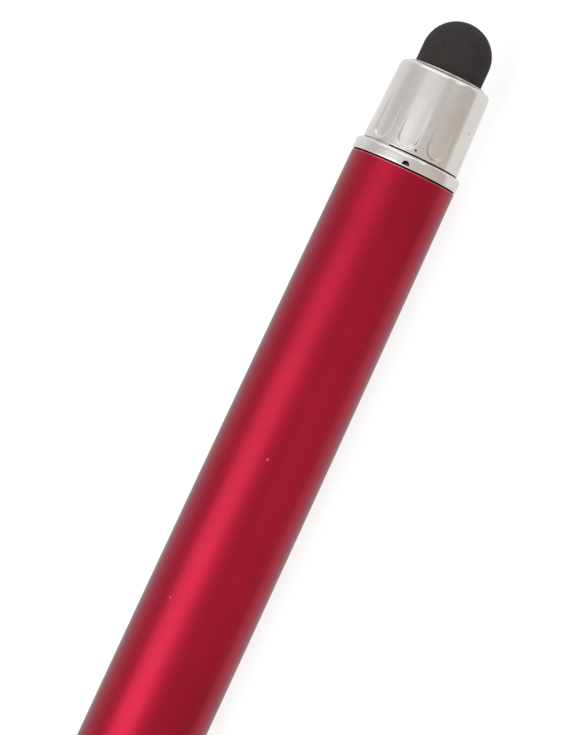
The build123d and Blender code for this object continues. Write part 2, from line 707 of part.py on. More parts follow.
with BuildPart() as refill_spring:
    with BuildLine() as wire:
        for i in range(SPRING_TURNS * SPRING_SEGMENTS_PER_TURN):
            turn = i / SPRING_SEGMENTS_PER_TURN
            next_turn = (i + 1) / SPRING_SEGMENTS_PER_TURN
            joint = biarc_joint(
                spring_point(turn), spring_tangent(turn), spring_point(next_turn), spring_tangent(next_turn)
            )
            arc = TangentArc(spring_point(turn), joint, tangent=spring_tangent(turn))
            TangentArc(joint, spring_point(next_turn), tangent=arc % 1)
    with BuildSketch(Plane(wire.line @ 0, z_dir=wire.line % 0)):
        Circle(SPRING_WIRE_RADIUS)
    sweep(path=wire.line)
refill_spring.part.label = "refill_spring"

# The least room between neighbouring turns, measured between points on the wire
gap_steps = 48
wire_points = [spring_point(i / gap_steps) for i in range(SPRING_TURNS * gap_steps + 1)]
turn_gap = min(
    (wire_points[i] - wire_points[j]).length - 2 * SPRING_WIRE_RADIUS
    for i in range(len(wire_points))
    for j in range(i + gap_steps // 2, len(wire_points))
)
print(f"refill_spring: least gap to itself {turn_gap:.2f} mm")

os.makedirs("parts", exist_ok=True)
for piece in (
    stylus_tip,
    stylus_core,
    stylus_collar,
    clip_ring,
    clip,
    upper_barrel,
    cam_sleeve,
    guide_sleeve,
    drag_ring,
    retaining_ring,
    centre_ring,
    lower_barrel,
    nose_cone,
    cam_follower,
    cross_pin,
    refill_tube,
    refill_tip,
    writing_ball,
    ink_column,
    refill_plug,
    refill_spring,
):
    export_step(piece.part, f"parts/{piece.part.label}.step")
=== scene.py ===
import json
from math import atan2, copysign, cos, hypot, pi, radians, sin, sqrt, tan

import bpy
from mathutils import Matrix, Vector


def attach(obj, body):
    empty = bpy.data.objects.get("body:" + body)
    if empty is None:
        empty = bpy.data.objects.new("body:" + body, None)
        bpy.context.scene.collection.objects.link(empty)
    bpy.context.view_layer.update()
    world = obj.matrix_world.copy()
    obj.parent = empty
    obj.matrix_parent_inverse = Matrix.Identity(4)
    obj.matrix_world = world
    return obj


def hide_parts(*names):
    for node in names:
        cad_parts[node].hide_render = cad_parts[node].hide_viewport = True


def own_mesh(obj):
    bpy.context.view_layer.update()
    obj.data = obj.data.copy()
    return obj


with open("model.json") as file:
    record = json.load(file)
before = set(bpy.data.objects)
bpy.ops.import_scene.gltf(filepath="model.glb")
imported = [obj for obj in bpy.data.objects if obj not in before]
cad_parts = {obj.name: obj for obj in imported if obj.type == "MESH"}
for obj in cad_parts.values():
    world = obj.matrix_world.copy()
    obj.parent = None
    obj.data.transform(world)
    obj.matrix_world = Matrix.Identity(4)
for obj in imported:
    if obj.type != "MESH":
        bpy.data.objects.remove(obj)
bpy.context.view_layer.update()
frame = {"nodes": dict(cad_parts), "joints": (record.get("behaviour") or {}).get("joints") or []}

# A twist pen with a stylus nib. Sizes are in millimetres, and heights along the pen are counted from
# the twist plane towards the nib. Pieces are made on a bench, with the pen's axis along X and the clip
# towards Z, and are then laid into the pen's place.
MM = 0.001

# How finely round forms are divided, and the angles from which an edge counts as sharp
TURN_STEPS, BARREL_STEPS, FLUTED_STEPS, TIP_STEPS, GATE_STEPS = 192, 256, 600, 96, 48
DOME_STEPS, BOW_STEPS, GRIP_STEPS, NOSE_STEPS = 24, 40, 120, 32
ROUND_STEPS, CORNER_STEPS, EDGE_STEPS = 8, 10, 3
WIRE_STEPS, COIL_STEPS = 16, 40
HOLD_LENGTH = 0.12
SMOOTH_ANGLE, BRACKET_ANGLE, CLIP_ANGLE = radians(34), radians(50), radians(60)

# How far a cutting tool stands out, what it leaves behind, and how near counts as touching
CUT_ROOM, CUT_LEFTOVER, NEAR = 1, 0.001, 0.01

# The pieces, and the slip fit between them
SEAT = 0.02
BELLY_RADIUS = 5.77
BARREL_END, BARREL_TOP, BARREL_TOP_RADIUS = 0.15, 65.0, 5.47
BARREL_EDGE, BARREL_TOP_EDGE = 0.28, 0.14
BARREL_BORE, JOURNAL_BORE, CAM_BASE = 4.231, 3.981, 45.75
KEYWAY_WIDTH, KEYWAY_REACH = 1.24, 4.632
CENTRE_LENGTH, CENTRE_EDGE, CENTRE_BORE = 2.4, 0.2, 3.671
LOWER_END, LOWER_BOW_START, LOWER_END_RADIUS = -43.4, -22.4, 5.0
LOWER_BORE, NOSE_SOCKET, NOSE_SOCKET_TOP, GUIDE_SOCKET_BASE = 3.301, 3.521, LOWER_END + 6.0, -11.4
GROOVE_COUNT, GROOVE_PITCH, GROOVE_FIRST = 5, 2.4, LOWER_END + 4.0
GROOVE_WIDTH, GROOVE_DEPTH = 0.9, 0.25
NOSE_END, NOSE_BASE_RADIUS, NOSE_TIP_RADIUS = LOWER_END - 13.5, 4.88, 1.8
NOSE_TIP_EDGE, NOSE_EDGE, NOSE_BULGE = 0.25, 0.06, 0.7
NOSE_THROAT, NOSE_CHAMBER, SPRING_SEAT = 1.3, 1.95, NOSE_END + 4.0
RING_BASE = BARREL_TOP + 0.2
RING_TOP, RING_RADIUS, RING_EDGE = RING_BASE + 1.24, 5.53, 0.46
RING_RIM, RING_FOOT, RING_FOOT_EDGE = BARREL_TOP + 0.11, 4.98, 0.14
GATE_FLAT, GATE_ASIDE, GATE_LONG, GATE_WIDE, GATE_DEPTH = RING_RIM + 0.17, -0.13, 0.46, 0.39, 0.16
GATE_CORE, GATE_CORE_LIFT, GATE_CORE_ASIDE, GATE_CORE_DEPTH = 0.45, 0.05, -0.04, 0.24
BRACKET_REACH, BRACKET_WIDTH, BRACKET_HEIGHT, BRACKET_CORNER = 8.65, 5.8, 3.07, 0.8
BRACKET_EDGE, COLLAR_ROOM = 0.18, 5.2
CLIP_INNER, CLIP_THICKNESS, CLIP_TANG, CLIP_STRAIGHT = 6.88, 0.9, 2.2, 4.0
CLIP_ROOT_WIDTH, CLIP_END_WIDTH, CLIP_END_ROUND, CLIP_EDGE = 4.2, 3.2, 1.088, 0.16
CLIP_END, CLIP_END_RADIUS = RING_BASE - 37.0, 7.12
CLIP_DIP, CLIP_DIP_RADIUS = RING_BASE - 33.8, 5.82
CLIP_BEND, CLIP_DIP_BEND = 14.0, 2.6
POCKET_ROOM, POCKET_SIDE = 0.22, 0.15
COLLAR_BASE, COLLAR_BASE_RADIUS, COLLAR_EDGE = RING_TOP + 0.12, 5.05, 0.08
LIP_TOP, LIP_BASE = RING_TOP + 8.9, RING_TOP + 8.79
LIP_RADIUS, LIP_EDGE, LIP_FOOT_EDGE = 3.92, 0.05, 0.04
COLLAR_SHOULDER, COLLAR_TOP_RADIUS, COLLAR_CORNER = LIP_BASE - 0.22, 4.72, 0.56
SOCKET_FLOOR, SOCKET_RADIUS, SOCKET_WALL, VENT_RADIUS = LIP_TOP - 4.6, 3.52, 1.2, 0.6
BEAD_GROOVE, BEAD_TOP, BEAD_SLOPE = 3.88, SOCKET_FLOOR + 1.12, 0.36
CREASE_RADIUS, CREASE_TURN = 4.7, 150.0
SPIGOT_RADIUS, SPIGOT_END, SPIGOT_WALL, SPIGOT_CHAMFER = 4.211, BARREL_TOP - 5.5, 0.9, 0.25
FLUTES, FLUTE_TURN, FLUTE_WIDTH, FLUTE_LENGTH = 10, 168.8, 2.0, 4.9
FLUTE_BASE, FLUTE_WALL, FLUTE_TOP_WALL, FLUTE_DEPTH = RING_TOP + 0.5, 0.42, 0.2, 0.19
FLUTE_END_RINGS, FLUTE_END_FIRST, FLUTE_END_PITCH = 34, FLUTE_BASE - 0.27, 0.045
FLUTE_SIDE_RINGS, FLUTE_SIDE_FIRST, FLUTE_SIDE_PITCH = 17, FLUTE_BASE + 1.35, 0.24
# Where the flutes' painted shade lies: how far up, how wide on the wall, round which turn, and how far
# round it spreads
PAINTED_SHADE_LENGTH, PAINTED_SHADE_WIDTH, PAINTED_SHADE_TURN, PAINTED_SHADE_SPREAD = 2.2, 0.24, 188.0, 45.0
NIB_END, NIB_RADIUS, NIB_WALL, NIB_BEAD = LIP_TOP + 5.52, 3.5, 0.9, 3.86
TIP_END, TIP_CONE_END, TIP_SHOULDER = NOSE_END + 1.78, NOSE_END + 4.38, NOSE_END + 16.38
TIP_INSERT_END, TIP_INSERT, TIP_BORE = TIP_SHOULDER + 5.0, 1.08, 0.4
TIP_RADIUS, TIP_ROUND, TIP_MOUTH, TIP_MOUTH_BORE, TIP_MOUTH_EDGE = 1.15, 0.12, 0.62, 0.49, 0.03
TIP_BREAK, TIP_BREAK_DEPTH, TIP_BREAK_EDGE = 0.4, 0.16, 0.05
TIP_STEP, TIP_STEP_DEPTH, TIP_STEP_EDGE = 1.1, 0.09, 0.04
BALL_SEAT = (0.573, TIP_BORE), (0.42, 0.507), (0.22, 0.53)
SPRING_TOP, SPRING_RADIUS, SPRING_WIRE = TIP_SHOULDER - SEAT, 1.45, 0.2
SPRING_TURNS, SPRING_DEAD_PITCH, SPRING_JOIN = 8, 0.85, 0.02

# How far flutes and linings keep off the faces around them
FLUTED_SKIN = 0.05
# The crease and gap linings are painted shade
CREASE_SIDE, CREASE_EDGE = 0.05, 0.07
GAP_DEPTH, GAP_SIDE, GAP_EDGE = 0.005, 0.05, 0.02
GATE_SKIN, GATE_FLOOR_SKIN, GATE_CORE_SKIN, GATE_REACH = 0.03, 0.02, 0.04, 1.02

joints = {joint["name"]: joint for joint in frame["joints"]}
flex_axis = Vector(joints["clip_flex"]["axis"])
ALONG = Vector((1, 0, 0))
CLIP_WAY = Vector((0, -flex_axis.z, flex_axis.y))


def placed(at, *ways):
    """A place, with its own X, Y and Z ways."""
    return Matrix.Translation(at) @ Matrix(ways).transposed().to_4x4()


BENCH_TO_PEN = placed(Vector(joints["twist"]["pos_m"]), ALONG, CLIP_WAY.cross(ALONG), CLIP_WAY)


# Turning and cutting on the bench


def choose(*pieces):
    """Selects some pieces alone, with the first one active."""
    bpy.ops.object.select_all(action="DESELECT")
    for piece in pieces:
        piece.select_set(True)
    bpy.context.view_layer.objects.active = pieces[0]


def start(add, **options):
    """A new primitive with its place in its mesh, and with nothing else selected."""
    if bpy.context.object and bpy.context.object.mode == "EDIT":
        bpy.ops.object.mode_set(mode="OBJECT")
    bpy.ops.object.select_all(action="DESELECT")
    add(**options)
    bpy.ops.object.transform_apply(location=True, rotation=True, scale=True)
    return bpy.context.object


def edit(piece, selected=None):
    """Edit mode on a piece, with everything selected, or the vertices for which the test holds."""
    bpy.ops.object.mode_set(mode="OBJECT")
    for vertex in piece.data.vertices:
        vertex.select = selected is None or selected(vertex)
    for edge in piece.data.edges:
        edge.select = all(piece.data.vertices[i].select for i in edge.vertices)
    for face in piece.data.polygons:
        face.select = all(piece.data.vertices[i].select for i in face.vertices)
    bpy.ops.object.mode_set(mode="EDIT")


def settle(piece):
    """Leaves edit mode, with every face looking outwards."""
    edit(piece)
    bpy.ops.mesh.normals_make_consistent(inside=False)
    bpy.ops.object.mode_set(mode="OBJECT")


def rounded(corners):
    """Points along a section of (height, radius, rounding): a rounding is an arc between holding points."""
    points = []
    for i, (h, r, rounding) in enumerate(corners):
        here = Vector((h, r))
        if not rounding:
            points.append(here)
            continue
        before = Vector(corners[i - 1][:2]) - here
        after = Vector(corners[(i + 1) % len(corners)][:2]) - here
        half = before.angle(after) / 2
        reach = rounding / tan(half)
        middle = here + (before.normalized() + after.normalized()).normalized() * rounding / sin(half)
        first = here + before.normalized() * reach
        last = here + after.normalized() * reach
        hold_in = min(HOLD_LENGTH, (before.length - reach) / 2)
        hold_out = min(HOLD_LENGTH, (after.length - reach) / 2)
        arm = first - middle
        sweep = (last - middle).angle_signed(arm)
        points.append(first + before.normalized() * hold_in)
        for k in range(ROUND_STEPS + 1):
            points.append(middle + Matrix.Rotation(sweep * k / ROUND_STEPS, 2) @ arm)
        points.append(last + after.normalized() * hold_out)
    return points


def bow(height, begin, end, end_radius):
    """A barrel's radius on the arc that leaves the belly along the axis."""
    run, drop = end - begin, BELLY_RADIUS - end_radius
    arc = (run**2 + drop**2) / (2 * drop)
    return BELLY_RADIUS - (height - begin) ** 2 / (arc + sqrt(arc**2 - (height - begin) ** 2))


def ring_end(piece, ring, steps, pole):
    """Draws an end ring together at a point on the axis."""
    edit(piece, lambda vertex: ring * steps <= vertex.index < (ring + 1) * steps)
    here = piece.data.vertices[ring * steps].co.x
    bpy.ops.mesh.extrude_edges_move(TRANSFORM_OT_translate={"value": (pole * MM - here, 0, 0)})
    bpy.ops.mesh.merge(type="CENTER")
    bpy.ops.object.mode_set(mode="OBJECT")


def turned(name, corners, steps=TURN_STEPS):
    """A turned piece: a circle drawn through its section by extruding and scaling, with its ends joined."""
    section = rounded(corners)
    open_start, open_end = section[0].y == 0, section[-1].y == 0
    rings = [point for point in section if point.y > 0]
    h, r = rings[0]
    piece = start(
        bpy.ops.mesh.primitive_circle_add,
        vertices=steps, radius=r * MM, location=(h * MM, 0, 0), rotation=(0, pi / 2, 0),
    )
    piece.name = piece.data.name = name
    edit(piece)
    for (h, r), (next_h, next_r) in zip(rings, rings[1:]):
        bpy.ops.mesh.extrude_edges_move(TRANSFORM_OT_translate={"value": ((next_h - h) * MM, 0, 0)})
        bpy.ops.transform.resize(
            value=(1, next_r / r, next_r / r), center_override=(next_h * MM, 0, 0)
        )
    bpy.ops.object.mode_set(mode="OBJECT")
    if open_start:
        ring_end(piece, 0, steps, section[0].x)
    if open_end:
        ring_end(piece, len(rings) - 1, steps, section[-1].x)
    if not (open_start or open_end):
        last = (len(rings) - 1) * steps
        edit(piece, lambda vertex: vertex.index < steps or vertex.index >= last)
        bpy.ops.mesh.select_mode(type="EDGE")
        bpy.ops.mesh.bridge_edge_loops()
        bpy.ops.mesh.select_mode(type="VERT")
        bpy.ops.object.mode_set(mode="OBJECT")
    settle(piece)
    return piece


def block(low, high):
    """A bench block between two corners, for cutting or joining."""
    low, high = Vector(low) * MM, Vector(high) * MM
    piece = start(bpy.ops.mesh.primitive_cube_add, size=1)
    piece.location, piece.scale = (low + high) / 2, high - low
    bpy.ops.object.transform_apply(location=True, rotation=True, scale=True)
    return piece


def rod(low, high, radius, along, steps):
    """A bench rod along X or Z between two places, for cutting."""
    low, high = Vector(low) * MM, Vector(high) * MM
    return start(
        bpy.ops.mesh.primitive_cylinder_add,
        vertices=steps, radius=radius * MM, depth=(high - low).length,
        location=(low + high) / 2, rotation=(0, pi / 2, 0) if along == "X" else (0, 0, 0),
    )


def modify(piece, kind, **settings):
    """Adds a modifier and applies it."""
    choose(piece)
    bpy.ops.object.modifier_add(type=kind)
    modifier = piece.modifiers[-1]
    for key, value in settings.items():
        setattr(modifier, key, value)
    bpy.ops.object.modifier_apply(modifier=modifier.name)


def combine(piece, tool, operation):
    """Cuts a piece with a tool, or joins them, and removes the tool."""
    modify(piece, "BOOLEAN", object=tool, operation=operation, solver="EXACT")
    bpy.data.objects.remove(tool)


def line(piece, finish, *linings):
    """Gives a piece a finish all over, and then each lining to the faces for which its test holds."""
    everywhere = finish, lambda *place: True
    for lining, test in (everywhere, *linings):
        piece.data.materials.append(lining)
        for face in piece.data.polygons:
            x, y, z = face.center / MM
            if test(x, hypot(y, z), atan2(-y, z)):
                face.material_index = len(piece.data.materials) - 1


def lay(piece, body, finish, slot, *nodes):
    """Lays a bench piece into the pen, smooths it, gives it its finish and body, and hides the nodes that
    it stands in for.
    """
    choose(piece)
    piece.matrix_world = BENCH_TO_PEN
    bpy.ops.object.transform_apply(location=True, rotation=True, scale=True)
    bpy.ops.object.shade_smooth_by_angle(angle=SMOOTH_ANGLE)
    if not piece.data.materials:
        piece.data.materials.append(finish)
    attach(piece, body)
    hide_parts(*nodes)


# Finishes


class Field:
    """A number that varies over a surface. Sums and products of fields add Math nodes."""

    def __init__(self, finish, socket):
        self.finish = finish
        self.socket = socket

    def reckon(self, operation, *values):
        return self.finish.node("ShaderNodeMath", {"operation": operation}, dict(enumerate(values)))

    def __add__(self, other):
        return self.reckon("ADD", self, other)

    def __sub__(self, other):
        return self.reckon("SUBTRACT", self, other)

    def __rsub__(self, other):
        return self.reckon("SUBTRACT", other, self)

    def __mul__(self, other):
        return self.reckon("MULTIPLY", self, other)

    __radd__ = __add__
    __rmul__ = __mul__

    def most(self, other):
        """The larger of two fields."""
        return self.reckon("MAXIMUM", self, other)

    def size(self):
        """The field without its sign."""
        return self.reckon("ABSOLUTE", self)

    def above(self, low, high):
        """Rises smoothly from 0 at the low value to 1 at the high one."""
        return self.finish.node(
            "ShaderNodeMapRange",
            {"interpolation_type": "SMOOTHSTEP"},
            {"Value": self, "From Min": low, "From Max": high},
        )


class Nodes:
    """The nodes of a finish or of the world, with the shader that they end in."""

    def __init__(self, owner, shader):
        owner.use_nodes = True
        self.tree = owner.node_tree
        self.shader = self.tree.nodes[shader]

    def node(self, kind, settings, inputs, output=0):
        """Adds a node with its settings, then its values and links, and gives one of its outputs."""
        made = self.tree.nodes.new(kind)
        for key, value in settings.items():
            setattr(made, key, value)
        for key, value in inputs.items():
            if isinstance(value, Field):
                self.tree.links.new(value.socket, made.inputs[key])
            else:
                made.inputs[key].default_value = value
        return Field(self, made.outputs[output])

    def seen(self):
        """1 for a ray from the camera, a mirror or a clear piece, and 0 for other rays."""
        camera, mirror, clear = (
            self.node("ShaderNodeLightPath", {}, {}, f"Is {way} Ray")
            for way in ("Camera", "Glossy", "Transmission")
        )
        return camera.most(mirror).most(clear)

    def dress(self, **inputs):
        """Sets the shader's sockets: values directly, and fields by a link."""
        for key, value in inputs.items():
            socket = self.shader.inputs[key.replace("_", " ")]
            if isinstance(value, Field):
                self.tree.links.new(value.socket, socket)
            else:
                socket.default_value = value

    def blend(self, amount, first, second):
        """A colour between two colours."""
        return self.node(
            "ShaderNodeMix", {"data_type": "RGBA"}, {0: amount, 6: first, 7: second}, 2
        )


# How much of a spot is solid, and the noise levels between which a mottled colour goes from dark to light
SPOT_CORE = 0.75
MOTTLE_DARK, MOTTLE_LIGHT = 0.3, 0.7


class Finish(Nodes):
    """A material made from nodes on the pen's own coordinates."""

    def __init__(self, name):
        self.material = bpy.data.materials.new(name)
        super().__init__(self.material, "Principled BSDF")
        self.place = self.node("ShaderNodeTexCoord", {}, {}, "Object")

    def noise(self, scale, detail=2.0, roughness=0.5, drawn=1.0):
        """A noise from 0 to 1, whose grains may be drawn out along the pen."""
        place = self.place
        if drawn != 1.0:
            place = self.node(
                "ShaderNodeVectorMath", {"operation": "MULTIPLY"}, {0: place, 1: (1 / drawn, 1, 1)}
            )
        return self.node(
            "ShaderNodeTexNoise", {},
            {"Vector": place, "Scale": scale, "Detail": detail, "Roughness": roughness}, "Fac",
        )

    def spot(self, place, radius):
        """1 within a radius of a bench place, and 0 outside."""
        middle = BENCH_TO_PEN @ (Vector(place) * MM)
        away = self.node(
            "ShaderNodeVectorMath", {"operation": "DISTANCE"}, {0: self.place, 1: middle}, "Value"
        )
        return 1 - away.above(SPOT_CORE * radius * MM, radius * MM)

    def mottled(self, dark, light, fine, cloud, share):
        """A colour between two, by a share of a fine noise and the rest of a cloudy one."""
        amount = (fine * share + cloud * (1 - share)).above(MOTTLE_DARK, MOTTLE_LIGHT)
        return self.blend(amount, dark, light)

    def bump(self, height, depth, strength):
        """A normal with the given relief, whose depth is in metres."""
        return self.node(
            "ShaderNodeBump", {}, {"Height": height, "Distance": depth, "Strength": strength}, "Normal"
        )

    def done(self, **inputs):
        self.dress(**inputs)
        return self.material


def uneven(level, cloud, spread):
    """A level that a cloudy noise moves up and down within a spread."""
    return level - spread / 2 + cloud * spread


def turned_to(height, radius, turn):
    """A bench place on a round surface, that many degrees round from the clip."""
    return height, -radius * sin(radians(turn)), radius * cos(radians(turn))


# Specks, the painted highlight along the barrel's top rim and the painted shade in the flutes, in
# millimetres, and the colours that they turn
RIM_HIGHLIGHT_WIDTH = 0.18
PALE_SPECKS = (33.92, 178.0, 0.16), (17.85, 147.2, 0.1)
PALE, PALE_SHARE = (0.8, 0.3, 0.32, 1), 0.4
DIRT_SPECKS = (
    (turned_to(RING_TOP + 0.6, 5.03, 182.5), 0.13),
    (turned_to(RING_TOP + 4.4, 4.88, 242.0), 0.11),
)
DIRT_AND_SHADE, PAINTED_SHADE_SHARE = (0.03, 0.025, 0.02, 1), 0.7


def lacquer(name, dark, light, flop, roughness):
    """Satin metallic lacquer: fine flakes, faint unevenness, pale specks, and a painted highlight along the
    barrel's top rim.
    """
    finish = Finish(name)
    finish.shader.distribution = "GGX"
    flakes = finish.noise(scale=9000.0, detail=1.0)
    cloud = finish.noise(scale=160.0, detail=3.0)
    orange_peel = finish.noise(scale=700.0)
    red = finish.mottled(dark, light, flakes, cloud, share=0.55)
    along = finish.node("ShaderNodeSeparateXYZ", {}, {0: finish.place}, "X")
    # Painted highlight: a pale band along the barrel's top rim
    rim = (BENCH_TO_PEN @ Vector((BARREL_TOP * MM, 0, 0))).x
    pale = along.above(rim - RIM_HIGHLIGHT_WIDTH * MM, rim - RIM_HIGHLIGHT_WIDTH / 2 * MM)
    for height, turn, radius in PALE_SPECKS:
        pale = pale.most(finish.spot(turned_to(height, BELLY_RADIUS, turn), radius))
    return finish.done(
        Base_Color=finish.blend(pale * PALE_SHARE, red, PALE),
        Metallic=1.0,
        Specular_Tint=flop,
        Coat_Weight=0.47,
        Coat_IOR=1.37,
        Coat_Roughness=0.3,
        Roughness=uneven(roughness, cloud, spread=0.06),
        Normal=finish.bump(orange_peel, depth=0.000004, strength=0.35),
    )


def metal(name, dark, light, roughness, grain=2600.0, specks=(), drawn=1.0):
    """Satin metal or plating: fine grain, which brushing draws out, faint clouds, dirty specks, and painted
    shade where a piece carries it.
    """
    finish = Finish(name)
    fine = finish.noise(grain, drawn=drawn)
    cloud = finish.noise(scale=240.0, detail=4.0)
    tint = finish.mottled(dark, light, fine, cloud, share=0.4)
    for place, radius in specks:
        tint = finish.blend(finish.spot(place, radius), tint, DIRT_AND_SHADE)
    # Painted shade, darkening the tint where a piece carries it as a vertex attribute
    painted_shade = finish.node("ShaderNodeAttribute", {"attribute_name": "painted_shade"}, {}, "Fac")
    return finish.done(
        Base_Color=finish.blend(painted_shade * PAINTED_SHADE_SHARE, tint, DIRT_AND_SHADE),
        Metallic=1.0,
        Roughness=uneven(roughness, cloud, spread=0.06),
        Normal=finish.bump(fine, depth=0.000003, strength=0.3),
    )


def moulded(name, dark, light, roughness, relief=0.000006, grain=1800.0, level=0.5):
    """Moulded plastic or rubber: a fine texture in its colour, gloss and relief."""
    finish = Finish(name)
    fine = finish.noise(grain, detail=3.0)
    cloud = finish.noise(scale=300.0, detail=3.0)
    return finish.done(
        Base_Color=finish.mottled(dark, light, fine, cloud, share=0.5),
        Roughness=uneven(roughness, cloud, spread=0.08),
        Normal=finish.bump(fine, relief, strength=0.5),
        Specular_IOR_Level=level,
    )


red_lacquer = lacquer(
    "red_lacquer", (0.335, 0.0015, 0.0222, 1), (0.393, 0.003, 0.0275, 1),
    flop=(0.5, 0.8, 0.8, 1), roughness=0.39,
)
satin_silver = metal(
    "satin_silver", (0.65, 0.615, 0.585, 1), (0.69, 0.655, 0.625, 1), roughness=0.25, specks=DIRT_SPECKS
)
clip_steel = metal(
    "clip_steel", (0.635, 0.62, 0.605, 1), (0.715, 0.7, 0.685, 1),
    roughness=0.27, grain=5200.0, drawn=40.0,
)
pin_steel = metal("pin_steel", (0.52, 0.52, 0.53, 1), (0.62, 0.62, 0.63, 1), roughness=0.3)
tip_brass = metal("tip_brass", (0.64, 0.45, 0.2, 1), (0.75, 0.56, 0.28, 1), roughness=0.3)
ball_carbide = metal("ball_carbide", (0.42, 0.42, 0.43, 1), (0.5, 0.5, 0.51, 1), roughness=0.16)
nib_rubber = moulded(
    "nib_rubber", (0.022, 0.0185, 0.0175, 1), (0.034, 0.029, 0.0275, 1),
    roughness=0.8, relief=0.00001, grain=2400.0, level=0.2,
)
ring_rubber = moulded("ring_rubber", (0.012, 0.012, 0.012, 1), (0.022, 0.022, 0.022, 1), roughness=0.7)
core_plastic = moulded("core_plastic", (0.04, 0.04, 0.04, 1), (0.055, 0.055, 0.055, 1), roughness=0.6)
# Black for the bare gate mark, and painted shade in the crease and the shadow gap
shade_and_bare_plastic = moulded(
    "shade_and_bare_plastic", (0.004, 0.003, 0.003, 1), (0.01, 0.008, 0.008, 1), roughness=0.8, level=0.1
)
gate_plastic = moulded(
    "gate_plastic", (0.1, 0.045, 0.055, 1), (0.24, 0.13, 0.15, 1), roughness=0.7, relief=0.00003
)
mechanism_plastic = moulded(
    "mechanism_plastic", (0.66, 0.66, 0.64, 1), (0.75, 0.75, 0.73, 1), roughness=0.55
)
refill_plastic = moulded("refill_plastic", (0.74, 0.77, 0.8, 1), (0.8, 0.82, 0.84, 1), roughness=0.25)
ink_black = moulded("ink", (0.006, 0.006, 0.01, 1), (0.012, 0.012, 0.02, 1), roughness=0.2)

for node, finish in (
    ("stylus_core", core_plastic),
    ("cam_sleeve", mechanism_plastic),
    ("guide_sleeve", mechanism_plastic),
    ("drag_ring", ring_rubber),
    ("retaining_ring", pin_steel),
    ("cam_follower", mechanism_plastic),
    ("cross_pin", pin_steel),
    ("refill_tube", refill_plastic),
    ("writing_ball", ball_carbide),
    ("ink_column", ink_black),
    ("refill_plug", mechanism_plastic),
):
    for slot in frame["nodes"][node].material_slots:
        slot.material = finish


# Rubber nib: a hollow dome with a bead inside the collar
def nib():
    dome, hollow = NIB_END - NIB_RADIUS, NIB_RADIUS - NIB_WALL
    turns = [radians(90 * k / DOME_STEPS) for k in range(DOME_STEPS + 1)]
    outside = [(dome + NIB_RADIUS * cos(a), NIB_RADIUS * sin(a) if a else 0, 0) for a in turns]
    inside = [(dome + hollow * cos(a), hollow * sin(a) if a else 0, 0) for a in reversed(turns)]
    return turned("stylus_tip_rubber", [
        *outside,
        (BEAD_TOP - SEAT, NIB_RADIUS, 0),
        (BEAD_TOP - SEAT - BEAD_SLOPE, NIB_BEAD, 0),
        (SOCKET_FLOOR, NIB_BEAD, 0),
        (SOCKET_FLOOR, hollow, 0),
        *inside,
    ])


lay(nib(), "upper", nib_rubber, "nib_rubber", "stylus_tip")


# Fluted collar: turned, then pressed in along the flutes, deepest at their round ends
def collar_radius(height):
    share = (height - RING_TOP) / (LIP_BASE - RING_TOP)
    return COLLAR_BASE_RADIUS + (COLLAR_TOP_RADIUS - COLLAR_BASE_RADIUS) * share


def flute_share(place):
    """How far a point on the collar is pressed in, as a share of the deepest flute and of its wall."""
    height = place.x / MM
    turn = (atan2(-place.y, place.z) - radians(FLUTE_TURN)) % (2 * pi / FLUTES)
    turn = min(turn, 2 * pi / FLUTES - turn)
    sideways = hypot(place.y, place.z) / MM * sin(turn)
    below = max(FLUTE_BASE + FLUTE_WIDTH / 2 - height, 0)
    depth = min(max(1 - (height - FLUTE_BASE) / FLUTE_LENGTH, 0), 1)
    wall = FLUTE_TOP_WALL + (FLUTE_WALL - FLUTE_TOP_WALL) * depth
    inside = (FLUTE_WIDTH + wall) / 2 - hypot(sideways, below)
    share = min(max(inside / wall, 0), 1)
    return share * share * (3 - 2 * share) * depth, share


def flute_painted_shade(place, share):
    """Painted shade along the middle of a flute's wall, which thins out up the flute and away from the
    front.
    """
    away = (atan2(-place.y, place.z) - radians(PAINTED_SHADE_TURN) + pi) % (2 * pi) - pi
    front = max(0, 1 - (away / radians(PAINTED_SHADE_SPREAD)) ** 2)
    above = max(0, place.x / MM - FLUTE_BASE)
    return front * max(0, 1 - abs(share - 0.5) / PAINTED_SHADE_WIDTH) * max(0, 1 - above / PAINTED_SHADE_LENGTH)


